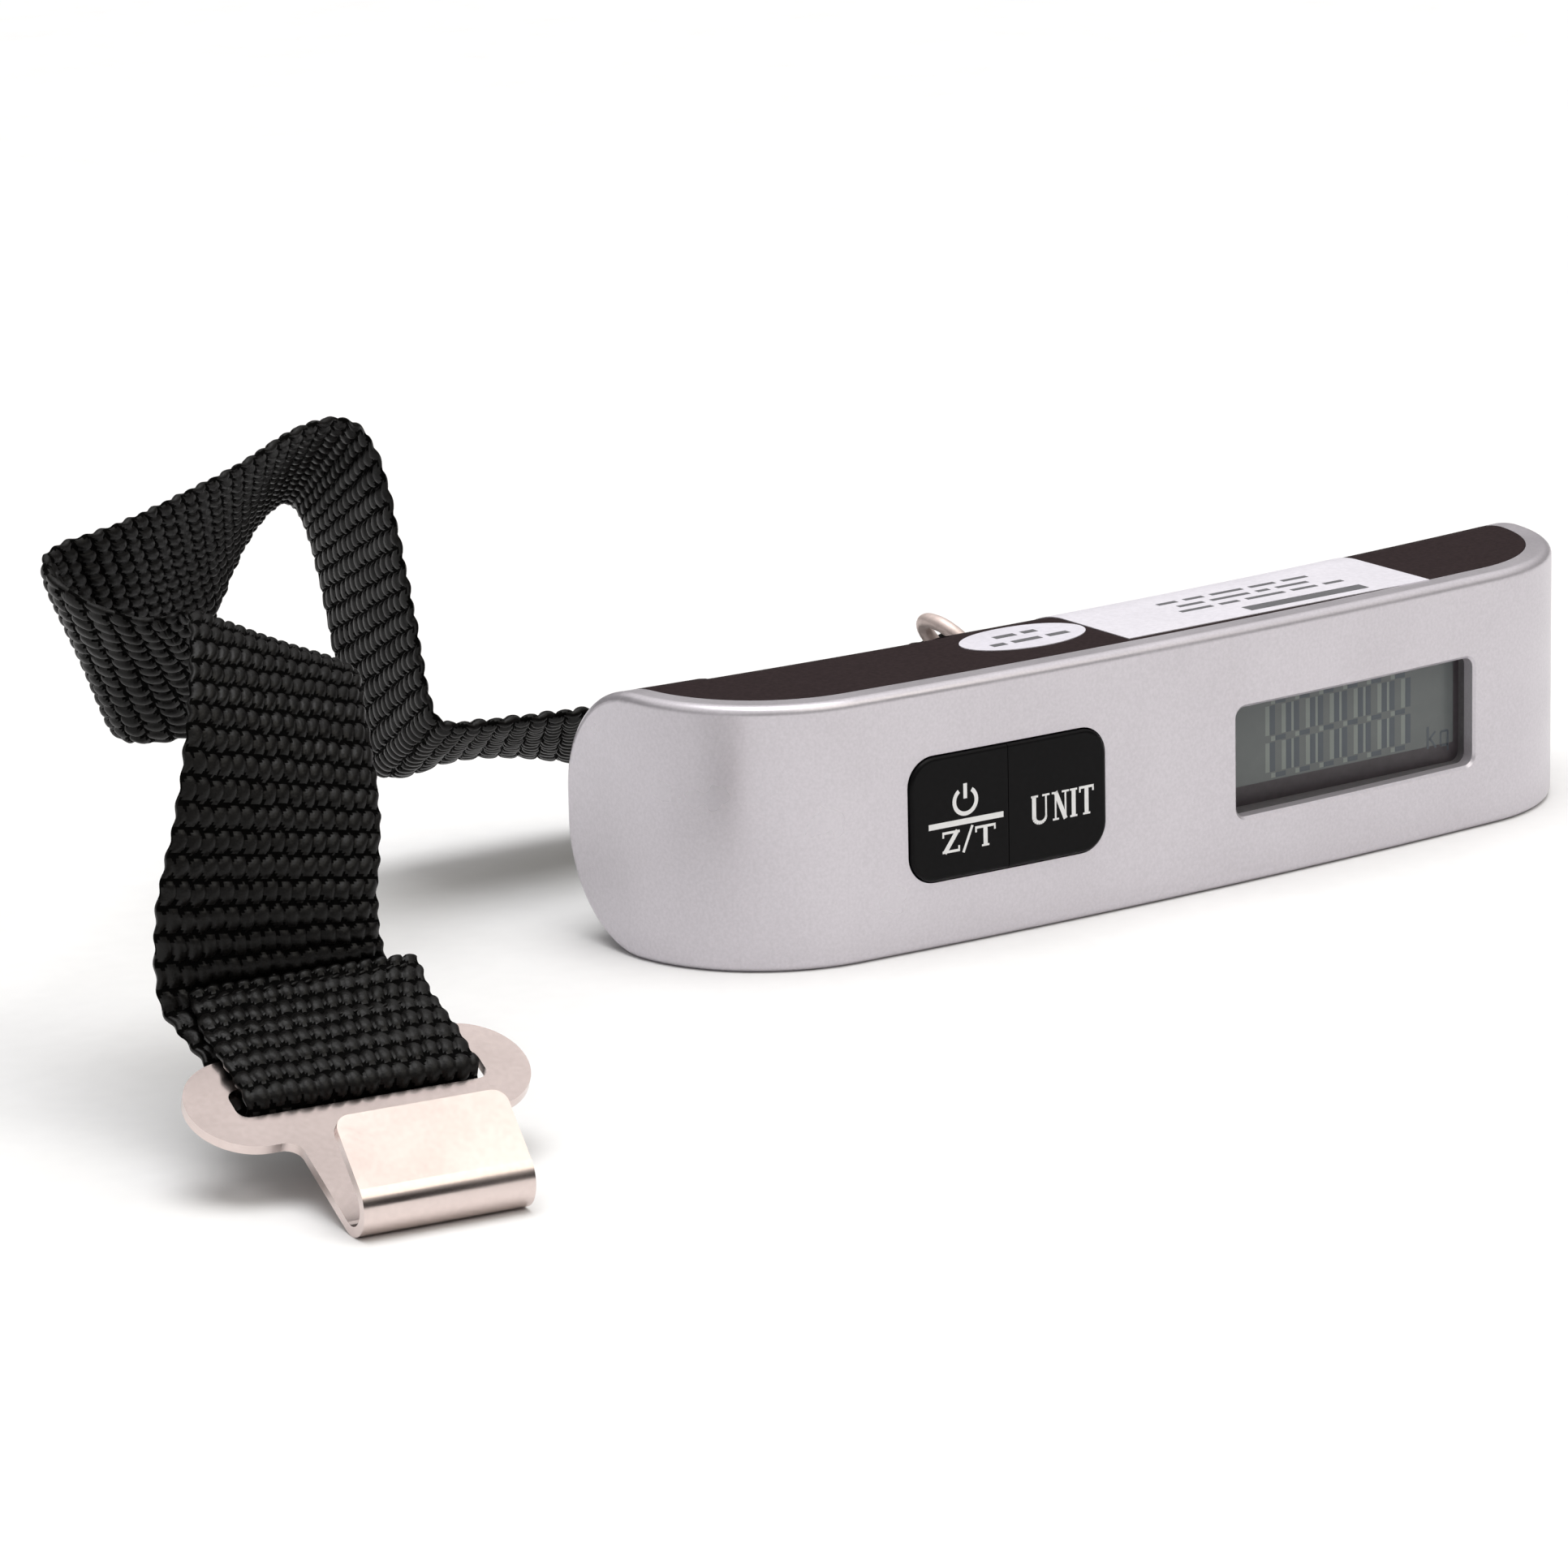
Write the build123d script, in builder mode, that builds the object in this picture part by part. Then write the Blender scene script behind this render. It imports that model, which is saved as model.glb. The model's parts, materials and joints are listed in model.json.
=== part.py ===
"""Digital luggage scale: a bar-shaped grip with a display, two keys and a webbing strap.

Millimetres. X runs along the bar (+X at the display end), +Y is the pulling direction
(the ring side) and +Z is up. The scale stands on its lower long side, z = 0.
"""
from build123d import *
from math import cos, hypot, radians, sin, sqrt
import os

os.makedirs("parts", exist_ok=True)

# ---- driving dimensions ------------------------------------------------------------------
HEIGHT = 34.0            # side face to side face, the width of the front
HALF_LENGTH = 72.5       # half of the bar's length
FRONT_RADIUS = 781.0     # gentle bow of the front, seen from above
CORNER_RADIUS = 22.0     # front corners, seen from above
BACK_RADIUS = 720.0      # hollow of the back, seen from above
DEPTH = 33.0             # front to back at mid length
BACK_ROUND = 15.0        # rounding from each side face into the back
RIM = 3.4                # how deep the silver cover wraps round the sides
RIM_EDGE = 1.2           # rounded outer edge of the cover
COVER_WALL = 2.0
HOUSING_WALL = 2.0

RING_WIRE = 2.0          # wire diameter
RING_LENGTH = 33.0       # outside
RING_WIDTH = 11.0        # outside
RING_LEAN = 38.0         # degrees from upright, leaning towards -X
EYE_DEPTH = 39.0         # hanger hole, measured from the front
WEBBING_WIDTH = 29.0
WEBBING_THICKNESS = 1.8

RING_OUT = EYE_DEPTH + RING_WIDTH - RING_WIRE / 2
FRONT_Y = -RING_OUT / 2  # the ring counts in the object's box, so y = 0 is its middle
MID_Z = HEIGHT / 2

# ---- openings in the front ---------------------------------------------------------------
WINDOW_X = (6.3, 47.0)
WINDOW_Z = (8.9, 23.4)
PAD_X = (-44.9, -14.9)
PAD_Z = (8.7, 25.1)
PAD_CORNER = 3.8
KEY_SEAM_X = -30.2
KEY_GAP = 0.2            # clear slit round each key
KEY_SEAM = 0.1           # between the two keys
KEY_PROUD = 0.5

# ---- battery door ------------------------------------------------------------------------
DOOR_X = (-60.0, -23.5)
DOOR_EDGE = 20.5         # where the door starts on each side face, from the front
DOOR_GAP = 0.15
DOOR_SINK = 0.2


def from_front(depth):
    """Y of a point at that depth behind the middle of the front."""
    return FRONT_Y + depth


def corner_centre():
    """Centre of the +X front corner, tangent inside the front's bow."""
    x = HALF_LENGTH - CORNER_RADIUS
    depth = FRONT_RADIUS - sqrt((FRONT_RADIUS - CORNER_RADIUS) ** 2 - x ** 2)
    return x, depth


def bar_outline(inset):
    """Plan of the bar moved inwards by inset, run straight out behind it."""
    cx, cy = corner_centre()
    reach = hypot(cx, FRONT_RADIUS - cy)
    bow = FRONT_RADIUS - inset
    join = (cx / reach * bow, FRONT_RADIUS - (FRONT_RADIUS - cy) / reach * bow)
    radius = CORNER_RADIUS - inset
    middle = (cx + radius * cos(radians(43)), cy - radius * sin(radians(43)))
    side = HALF_LENGTH - inset
    behind = DEPTH + 20

    def at(point, mirror=1):
        return (mirror * point[0], from_front(point[1]))

    with BuildLine() as line:
        ThreePointArc(at(join, -1), (0, from_front(inset)), at(join))
        for m in (1, -1):
            ThreePointArc(at(join, m), at(middle, m), at((side, cy), m))
            Line(at((side, cy), m), at((side, behind), m))
        Line(at((side, behind), -1), at((side, behind)))
    return line


def bar_space(inset):
    """The bar's outer space moved inwards by inset: plan outline and rounded, hollowed back."""
    outline = bar_outline(inset)
    radius = BACK_ROUND - inset
    flat = DEPTH - BACK_ROUND
    with BuildPart() as space:
        with BuildSketch(Plane.XY.offset(inset)) as plan:
            add(outline.line)
            make_face()
        extrude(amount=HEIGHT - 2 * inset)
        with BuildPart(mode=Mode.INTERSECT):
            with BuildSketch(Plane.YZ) as section:
                top = HEIGHT - inset
                lean = radius * cos(radians(45))
                with BuildLine():
                    Polyline(
                        (from_front(flat), top),
                        (from_front(-20), top),
                        (from_front(-20), inset),
                        (from_front(flat), inset),
                    )
                    ThreePointArc(
                        (from_front(flat), inset),
                        (from_front(flat + lean), inset + radius - lean),
                        (from_front(flat + radius), inset + radius),
                    )
                    Line(
                        (from_front(flat + radius), inset + radius),
                        (from_front(flat + radius), top - radius),
                    )
                    ThreePointArc(
                        (from_front(flat + radius), top - radius),
                        (from_front(flat + lean), top - radius + lean),
                        (from_front(flat), top),
                    )
                make_face()
            axis = Axis((0, from_front(DEPTH + BACK_RADIUS), 0), (0, 0, 1))
            revolve(axis=axis, revolution_arc=7)
            revolve(section.sketch, axis=axis, revolution_arc=-7)
    return space


def plan_block(inset, low, high):
    """Straight block of the bar's outline, open at the back, between two heights."""
    outline = bar_outline(inset)
    with BuildPart() as block:
        with BuildSketch(Plane.XY.offset(low)):
            add(outline.line)
            make_face()
        extrude(amount=high - low)
    return block.part


def front_block(x_range, z_range, corner, depth_range):
    """Rounded rectangle on the front, run through a range of depths."""
    centre = ((x_range[0] + x_range[1]) / 2, (z_range[0] + z_range[1]) / 2)
    face = Plane(
        origin=(centre[0], from_front(depth_range[0]), centre[1]),
        x_dir=(1, 0, 0),
        z_dir=(0, 1, 0),
    )
    with BuildPart() as block:
        with BuildSketch(face):
            RectangleRounded(x_range[1] - x_range[0], z_range[1] - z_range[0], corner)
        extrude(amount=depth_range[1] - depth_range[0])
    return block.part


def slab(x_range, depth_range, z_range):
    """Plain block given by its ranges, with its depth measured from the front."""
    with BuildPart() as block:
        with Locations((x_range[0], from_front(depth_range[0]), z_range[0])):
            Box(
                x_range[1] - x_range[0],
                depth_range[1] - depth_range[0],
                z_range[1] - z_range[0],
                align=(Align.MIN, Align.MIN, Align.MIN),
            )
    return block.part


def rod(x, z, radius, depth_range):
    """Round bar along Y."""
    face = Plane(origin=(x, from_front(depth_range[0]), z), x_dir=(1, 0, 0), z_dir=(0, 1, 0))
    with BuildPart() as bar:
        with BuildSketch(face):
            Circle(radius)
        extrude(amount=depth_range[1] - depth_range[0])
    return bar.part


def finish(part, name):
    """Label a finished piece and write it out."""
    part.label = name
    export_step(part, f"parts/{name}.step")


BACK = 60.0              # a depth safely behind everything
ALL_Z = (-5.0, HEIGHT + 5.0)

# ---- front cover -------------------------------------------------------------------------
COVER_SEAM = 0.08
RIM_HEIGHT = 1.8         # thickness of the rim that wraps onto the side faces
POCKET_DEPTH = 19.0       # how deep the cover's pocket runs inside its end caps
WINDOW_CORNER = 1.4
WINDOW_BEVEL = 0.35
BOSS_X = 64.2
BOSS_RADIUS = 2.5
BOSS_DEPTHS = (9.6, 24.0)
PILOT_RADIUS = 1.0

with BuildPart() as front_cover:
    add(bar_space(0).part)
    side_faces = front_cover.edges().filter_by(GeomType.CIRCLE).filter_by(Plane.XY)
    fillet([edge for edge in side_faces if edge.center().Y < from_front(10)], RIM_EDGE)
    add(plan_block(RIM, -1, HEIGHT + 1), mode=Mode.SUBTRACT)
    with BuildPart(mode=Mode.SUBTRACT):
        add(plan_block(COVER_WALL, RIM_HEIGHT, HEIGHT - RIM_HEIGHT))
        add(slab((-HALF_LENGTH, HALF_LENGTH), (-5, POCKET_DEPTH), ALL_Z), mode=Mode.INTERSECT)
    for side in (1, -1):
        add(rod(side * BOSS_X, MID_Z, BOSS_RADIUS, BOSS_DEPTHS))
    for side in (1, -1):
        add(rod(side * BOSS_X, MID_Z, PILOT_RADIUS, (13.0, 24.5)), mode=Mode.SUBTRACT)
    add(front_block(WINDOW_X, WINDOW_Z, WINDOW_CORNER, (-2, 5)), mode=Mode.SUBTRACT)
    rims = front_cover.faces().sort_by(Axis.Y)[0].inner_wires()[0].edges()
    chamfer(rims, WINDOW_BEVEL)
    add(front_block(PAD_X, PAD_Z, PAD_CORNER, (-2, 5)), mode=Mode.SUBTRACT)
finish(front_cover.part, "front_cover")

# ---- rear housing ------------------------------------------------------------------------
CAVITY_X = HALF_LENGTH - RIM - HOUSING_WALL
POST_X = 18.0
POST_RADIUS = 4.0
BEAM_DEPTHS = (17.0, 23.0)
SCREW_RADIUS = 1.45
SCREW_HEAD_RADIUS = 2.6
COUNTERBORE_DEPTH = 28.5
SHANK_RADIUS = 2.0
CELL_X = -41.5
CELL_RADIUS = 10.0
CELL_THICKNESS = 3.2
CELL_DEPTH = 25.2        # inner face of the coin cell
TRAY_WALL = 1.2
RIB_DEPTHS = (15.6, 19.4)

door_space = slab(DOOR_X, (DOOR_EDGE, BACK), ALL_Z)
ledge = 1.4
ledge_opening = slab(
    (DOOR_X[0] + ledge, DOOR_X[1] - ledge), (DOOR_EDGE + ledge, BACK), (4.0, HEIGHT - 4.0)
)

with BuildPart() as cavity:
    add(bar_space(HOUSING_WALL).part)
    add(slab((-CAVITY_X, CAVITY_X), (-10, BACK), ALL_Z), mode=Mode.INTERSECT)

with BuildPart() as door_ledge:
    add(bar_space(HOUSING_WALL - 0.3).part)
    add(bar_space(HOUSING_WALL + 1.2).part, mode=Mode.SUBTRACT)
    add(slab((DOOR_X[0] - 1, DOOR_X[1] + 1), (DOOR_EDGE - 1, BACK), ALL_Z), mode=Mode.INTERSECT)
    add(ledge_opening, mode=Mode.SUBTRACT)
    add(bar_space(HOUSING_WALL + 0.05).part, mode=Mode.INTERSECT)

with BuildPart() as rear_housing:
    add(bar_space(0).part)
    add(plan_block(RIM + COVER_SEAM, -1, HEIGHT + 1), mode=Mode.INTERSECT)
    add(cavity.part, mode=Mode.SUBTRACT)
    add(door_space, mode=Mode.SUBTRACT)
    add(door_ledge.part)
    for side in (1, -1):
        add(rod(side * BOSS_X, MID_Z, BOSS_RADIUS + 1.0, (BOSS_DEPTHS[1] + 0.05, DEPTH + 1.5)))
        add(rod(side * POST_X, MID_Z, POST_RADIUS, (BEAM_DEPTHS[1], DEPTH - 1.0)))
    for side in (1, -1):
        add(rod(side * BOSS_X, MID_Z, SCREW_RADIUS + 0.1, (20, BACK)), mode=Mode.SUBTRACT)
        counterbore = rod(side * BOSS_X, MID_Z, SCREW_HEAD_RADIUS + 0.2, (COUNTERBORE_DEPTH, BACK))
        add(counterbore, mode=Mode.SUBTRACT)
        add(rod(side * POST_X, MID_Z, 1.2, (20, 31.0)), mode=Mode.SUBTRACT)
    add(rod(0, MID_Z, SHANK_RADIUS + 0.5, (25, BACK)), mode=Mode.SUBTRACT)
    add(rod(CELL_X, MID_Z, CELL_RADIUS + 0.3 + TRAY_WALL, (CELL_DEPTH - 2.2, CELL_DEPTH + 2.6)))
    for side in (1, -1):
        tray_z = sorted((MID_Z + side * (CELL_RADIUS + 0.5), MID_Z + side * (MID_Z - 6.2)))
        wall_z = sorted((MID_Z + side * (MID_Z - 7.2), MID_Z + side * (MID_Z - 1.5)))
        add(slab((CELL_X - 2, CELL_X + 2), (RIB_DEPTHS[0], CELL_DEPTH), tray_z))
        add(slab((CELL_X - 2, CELL_X + 2), RIB_DEPTHS, wall_z))
    add(rod(CELL_X, MID_Z, CELL_RADIUS + 0.3, (CELL_DEPTH - 1.0, BACK - 1)), mode=Mode.SUBTRACT)
finish(rear_housing.part, "rear_housing")

# ---- battery door and cell ---------------------------------------------------------------
DOOR_WALL = 1.8
SLOT_LENGTH = 10.0
SLOT_WIDTH = 2.4
SLOT_DEPTH = 0.9
SLOT_X = -54.0
SLOT_TILT = 20.0         # how far round the back's curve the nail slot sits

with BuildPart() as battery_door:
    add(bar_space(DOOR_SINK).part)
    add(bar_space(DOOR_SINK + DOOR_WALL).part, mode=Mode.SUBTRACT)
    door_x = (DOOR_X[0] + DOOR_GAP, DOOR_X[1] - DOOR_GAP)
    add(slab(door_x, (DOOR_EDGE + DOOR_GAP, BACK), ALL_Z), mode=Mode.INTERSECT)
    back_shift = SLOT_X ** 2 / (2 * BACK_RADIUS)
    slot_depth = DEPTH - BACK_ROUND + back_shift + BACK_ROUND * sin(radians(SLOT_TILT))
    slot_z = HEIGHT - BACK_ROUND * (1 - cos(radians(SLOT_TILT)))
    slot_face = Plane(
        origin=(SLOT_X, from_front(slot_depth), slot_z),
        x_dir=(1, 0, 0),
        z_dir=(0, sin(radians(SLOT_TILT)), cos(radians(SLOT_TILT))),
    )
    with BuildSketch(slot_face):
        SlotOverall(SLOT_LENGTH, SLOT_WIDTH)
    extrude(amount=SLOT_DEPTH, both=True, mode=Mode.SUBTRACT)
finish(battery_door.part, "battery_door")

with BuildPart() as battery_cell:
    add(rod(CELL_X, MID_Z, CELL_RADIUS, (CELL_DEPTH, CELL_DEPTH + CELL_THICKNESS)))
    fillet(battery_cell.edges().filter_by(GeomType.CIRCLE), 0.4)
finish(battery_cell.part, "battery_cell")

with BuildPart() as contact_negative:
    add(slab((CELL_X - 6, CELL_X + 6), (CELL_DEPTH - 1.0, CELL_DEPTH - 0.6), (MID_Z - 2, MID_Z + 2)))
    add(rod(CELL_X, MID_Z, 1.5, (CELL_DEPTH - 0.7, CELL_DEPTH)))
finish(contact_negative.part, "battery_contact_negative")

with BuildPart() as contact_positive:
    add(slab((CELL_X + 2.2, CELL_X + 8), (CELL_DEPTH + 3.2, CELL_DEPTH + 3.6), (MID_Z - 2, MID_Z + 2)))
    add(slab((CELL_X + 7.6, CELL_X + 15), (CELL_DEPTH + 3.2, CELL_DEPTH + 3.6), (MID_Z - 2, MID_Z + 2)))
    add(slab((CELL_X + 14.6, CELL_X + 15), (CELL_DEPTH - 4, CELL_DEPTH + 3.6), (MID_Z - 2, MID_Z + 2)))
finish(contact_positive.part, "battery_contact_positive")

# ---- display -----------------------------------------------------------------------------
LCD_DEPTHS = (4.6, 6.4)
BOARD_DEPTHS = (9.6, 11.2)
LCD_X = (WINDOW_X[0] - 2.5, WINDOW_X[1] + 2.5)
LCD_Z = (WINDOW_Z[0] - 4.0, WINDOW_Z[1] + 3.5)

with BuildPart() as lcd_frame:
    frame_x = (WINDOW_X[0] - 3.2, WINDOW_X[1] + 3.2)
    frame_z = (WINDOW_Z[0] - 4.8, WINDOW_Z[1] + 4.2)
    add(front_block(frame_x, frame_z, 1.0, (1.0, LCD_DEPTHS[1])))
    add(plan_block(COVER_WALL + 0.05, *ALL_Z), mode=Mode.INTERSECT)
    add(front_block(WINDOW_X, WINDOW_Z, WINDOW_CORNER, (-2, BACK)), mode=Mode.SUBTRACT)
    add(slab(LCD_X, (LCD_DEPTHS[0], BACK), LCD_Z), mode=Mode.SUBTRACT)
finish(lcd_frame.part, "lcd_frame")

with BuildPart() as lcd_panel:
    add(slab(LCD_X, LCD_DEPTHS, LCD_Z))
finish(lcd_panel.part, "lcd_panel")

with BuildPart() as zebra_strips:
    for low in (LCD_Z[0] + 0.2, LCD_Z[1] - 2.2):
        add(slab((LCD_X[0] + 2, LCD_X[1] - 2), (LCD_DEPTHS[1], BOARD_DEPTHS[0]), (low, low + 2.0)))
finish(zebra_strips.part, "zebra_strips")

# ---- circuit board -----------------------------------------------------------------------
BOARD_X = (-50.0, 52.0)
BOARD_Z = (3.6, 30.4)

with BuildPart() as circuit_board:
    add(front_block(BOARD_X, BOARD_Z, 2.0, BOARD_DEPTHS))
finish(circuit_board.part, "circuit_board")

with BuildPart() as board_chips:
    add(rod(-14, MID_Z, 5.0, (BOARD_DEPTHS[1], BOARD_DEPTHS[1] + 1.6)))
    add(slab((14, 19), (BOARD_DEPTHS[1], BOARD_DEPTHS[1] + 1.5), (10, 14)))
    add(slab((24, 26), (BOARD_DEPTHS[1], BOARD_DEPTHS[1] + 0.8), (20, 21.2)))
    add(slab((28, 30), (BOARD_DEPTHS[1], BOARD_DEPTHS[1] + 0.8), (20, 21.2)))
    add(slab((32, 34), (BOARD_DEPTHS[1], BOARD_DEPTHS[1] + 0.8), (20, 21.2)))
finish(board_chips.part, "board_chips")

# ---- keys --------------------------------------------------------------------------------
KEY_WALL = 1.3
FLANGE_DEPTHS = (3.6, 4.4)
FLANGE_REACH = 1.0
STEM_RADIUS = 1.7
PLUNGER_RADIUS = 1.5
SWITCH_DEPTHS = (5.8, BOARD_DEPTHS[0])
PLUNGER_DEPTHS = (5.0, 6.8)
SWITCH_HALF = 3.0
KEY_Z = (PAD_Z[0] + KEY_GAP, PAD_Z[1] - KEY_GAP)


def key(x_range, flange_x):
    """Key cap flush with the bowed front, its hidden flange and its stem."""
    centre_x = (x_range[0] + x_range[1]) / 2
    pad_x = (PAD_X[0] + KEY_GAP, PAD_X[1] - KEY_GAP)
    flange_z = (KEY_Z[0] - FLANGE_REACH, KEY_Z[1] + FLANGE_REACH)
    with BuildPart() as body:
        add(front_block(pad_x, KEY_Z, PAD_CORNER - KEY_GAP, (-2, FLANGE_DEPTHS[0])))
        add(plan_block(-KEY_PROUD, *ALL_Z), mode=Mode.INTERSECT)
        rims = body.faces().sort_by(Axis.Y)[0].edges()
        fillet(rims, KEY_PROUD * 0.9)
        add(slab(x_range, (-2, BACK), ALL_Z), mode=Mode.INTERSECT)
        add(slab(flange_x, FLANGE_DEPTHS, flange_z))
        add(rod(centre_x, MID_Z, STEM_RADIUS, (FLANGE_DEPTHS[1] - 0.1, PLUNGER_DEPTHS[0])))
    return body.part, centre_x


def key_switch(centre_x):
    """Tact switch body with the bore that its plunger runs in."""
    with BuildPart() as body:
        side = (centre_x - SWITCH_HALF, centre_x + SWITCH_HALF)
        add(slab(side, SWITCH_DEPTHS, (MID_Z - SWITCH_HALF, MID_Z + SWITCH_HALF)))
        bore = rod(centre_x, MID_Z, PLUNGER_RADIUS + 0.08, (SWITCH_DEPTHS[0] - 1, 8.0))
        add(bore, mode=Mode.SUBTRACT)
    return body.part


KEYS = {
    "power": ((PAD_X[0] - 1, KEY_SEAM_X - KEY_SEAM / 2), (PAD_X[0] - 1.0, KEY_SEAM_X - 0.25)),
    "unit": ((KEY_SEAM_X + KEY_SEAM / 2, PAD_X[1] + 1), (KEY_SEAM_X + 0.25, PAD_X[1] + 1.0)),
}
for key_name, (key_x, key_flange_x) in KEYS.items():
    key_part, key_centre = key(key_x, key_flange_x)
    finish(key_part, f"{key_name}_key")
    finish(rod(key_centre, MID_Z, PLUNGER_RADIUS, PLUNGER_DEPTHS), f"{key_name}_plunger")
    finish(key_switch(key_centre), f"{key_name}_switch")

# ---- load cell and hanger ----------------------------------------------------------------
BEAM_HALF = 23.0
BEAM_Z = (MID_Z - 6, MID_Z + 6)
GAUGE_X = 9.5
EYE_RADIUS = 3.7
EYE_HOLE = 2.2
EYE_THICKNESS = 1.6
SHANK_START = 12.6
WASHER = 0.6
NUT_HEIGHT = 3.2
NUT_RADIUS = 4.0

with BuildPart() as load_cell_beam:
    add(slab((-BEAM_HALF, BEAM_HALF), BEAM_DEPTHS, BEAM_Z))
    middle_depth = (BEAM_DEPTHS[0] + BEAM_DEPTHS[1]) / 2
    for x in (-GAUGE_X - 1.6, -GAUGE_X + 1.6, GAUGE_X - 1.6, GAUGE_X + 1.6):
        with Locations((x, from_front(middle_depth), MID_Z)):
            Cylinder(1.9, 20, mode=Mode.SUBTRACT)
    for x, radius in ((0, SHANK_RADIUS + 0.1), (POST_X, 1.6), (-POST_X, 1.6)):
        add(rod(x, MID_Z, radius, (10, BACK)), mode=Mode.SUBTRACT)
finish(load_cell_beam.part, "load_cell_beam")

with BuildPart() as strain_gauges:
    for side in (1, -1):
        gauge_x = (side * GAUGE_X - 3, side * GAUGE_X + 3)
        add(slab(gauge_x, (BEAM_DEPTHS[0] - 0.2, BEAM_DEPTHS[0]), (MID_Z - 2, MID_Z + 2)))
finish(strain_gauges.part, "strain_gauges")


def screw(x, head_radius, shank_radius, tip, seat, head):
    """Pan-head screw pointing along -Y or +Y, with a cross recess in its head."""
    outward = 1 if seat > tip else -1
    ends = sorted((seat, seat + outward * head))
    face = Plane(
        origin=(x, from_front(seat + outward * head), MID_Z), x_dir=(1, 0, 0), z_dir=(0, outward, 0)
    )
    with BuildPart() as body:
        add(rod(x, MID_Z, head_radius, ends))
        add(rod(x, MID_Z, shank_radius, sorted((tip, seat))))
        with BuildSketch(face):
            Rectangle(head_radius * 1.3, 0.6)
            Rectangle(0.6, head_radius * 1.3)
        extrude(amount=-0.9, mode=Mode.SUBTRACT)
    return body.part


with BuildPart() as load_cell_screws:
    for side in (1, -1):
        add(screw(side * POST_X, 2.8, 1.2, 30.0, BEAM_DEPTHS[0], 2.0))
finish(load_cell_screws.part, "load_cell_screws")

with BuildPart() as housing_screws:
    for side in (1, -1):
        add(screw(side * BOSS_X, SCREW_HEAD_RADIUS, PILOT_RADIUS, 14.0, COUNTERBORE_DEPTH, 1.8))
finish(housing_screws.part, "housing_screws")

with BuildPart() as hanger_eye:
    add(rod(0, MID_Z, SHANK_RADIUS, (SHANK_START, EYE_DEPTH - EYE_RADIUS + 0.8)))
    with Locations((0, from_front(EYE_DEPTH), MID_Z)):
        Cylinder(EYE_RADIUS, EYE_THICKNESS)
        Cylinder(EYE_HOLE, EYE_THICKNESS * 2, mode=Mode.SUBTRACT)
finish(hanger_eye.part, "hanger_eye")

with BuildPart() as hanger_washer:
    add(rod(0, MID_Z, 4.2, (BEAM_DEPTHS[0] - WASHER, BEAM_DEPTHS[0])))
    add(rod(0, MID_Z, SHANK_RADIUS + 0.1, (10, BACK)), mode=Mode.SUBTRACT)
finish(hanger_washer.part, "hanger_washer")

with BuildPart() as hanger_nut:
    nut_depth = BEAM_DEPTHS[0] - WASHER - NUT_HEIGHT
    face = Plane(origin=(0, from_front(nut_depth), MID_Z), x_dir=(1, 0, 0), z_dir=(0, 1, 0))
    with BuildSketch(face):
        RegularPolygon(NUT_RADIUS, 6)
        Circle(SHANK_RADIUS, mode=Mode.SUBTRACT)
    extrude(amount=NUT_HEIGHT)
finish(hanger_nut.part, "hanger_nut")

# ---- ring --------------------------------------------------------------------------------
RING_CORNER = 4.2

with BuildPart() as ring:
    lean = radians(RING_LEAN)
    ring_face = Plane(
        origin=(0, from_front(EYE_DEPTH + (RING_WIDTH - RING_WIRE) / 2), MID_Z),
        x_dir=(-sin(lean), 0, cos(lean)),
        z_dir=(-cos(lean), 0, -sin(lean)),
    )
    half_long = (RING_LENGTH - RING_WIRE) / 2
    half_wide = (RING_WIDTH - RING_WIRE) / 2
    corners = [
        (half_long, half_wide),
        (-half_long, half_wide),
        (-half_long, -half_wide),
        (half_long, -half_wide),
    ]
    with BuildLine(ring_face) as wire:
        FilletPolyline(*corners, radius=RING_CORNER, close=True)
    with BuildSketch(Plane(origin=wire.line @ 0, z_dir=wire.line % 0)):
        Circle(RING_WIRE / 2)
    sweep(path=wire.line)
finish(ring.part, "ring")

# ---- hook plate --------------------------------------------------------------------------
PLATE_ORIGIN = (-147.6, -76.1, -1.16)
PLATE_HEADING = -7.5     # turn of the plate about the vertical
PLATE_RISE = 25.0        # how far the flat part climbs from its rolled front
PLATE_SHEET = 1.2
PLATE_WIDTH = 42.0
WING_CENTRE = 25.0       # from the front of the roll
WING_RADIUS = 7.4
TONGUE_WIDTH = 21.0
ROLL_RADIUS = 3.6        # outside
LIP_OPENING = 20.0       # degrees between the hook's lip and the flat part
LIP_LENGTH = 9.3
LIP_CORNER = 1.8
NECK_RADIUS = 2.0
SLOT_WIDE = 31.0
SLOT_SPAN = (22.6, 27.4)
BAR_END = WING_CENTRE + WING_RADIUS

heading = radians(PLATE_HEADING)
rise = radians(PLATE_RISE)
PLATE_ACROSS = Vector(cos(heading), sin(heading), 0)
PLATE_BACK = Vector(-sin(heading) * cos(rise), cos(heading) * cos(rise), sin(rise))
PLATE_UP = PLATE_ACROSS.cross(PLATE_BACK)


def on_plate(across, back, up):
    """Point given in the hook plate's own directions."""
    shift = PLATE_ACROSS * across + PLATE_BACK * back + PLATE_UP * up
    return Vector(*PLATE_ORIGIN) + shift


def roll_point(radius, angle):
    """Point of the rolled front's profile, angle measured from the back direction."""
    a = radians(angle)
    return (ROLL_RADIUS + radius * cos(a), ROLL_RADIUS + radius * sin(a))


def lip_point(radius, length):
    """Point of the lip's profile at that distance from the end of the roll."""
    x, y = roll_point(radius, 90 + LIP_OPENING)
    return (x + length * cos(radians(LIP_OPENING)), y + length * sin(radians(LIP_OPENING)))


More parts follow.
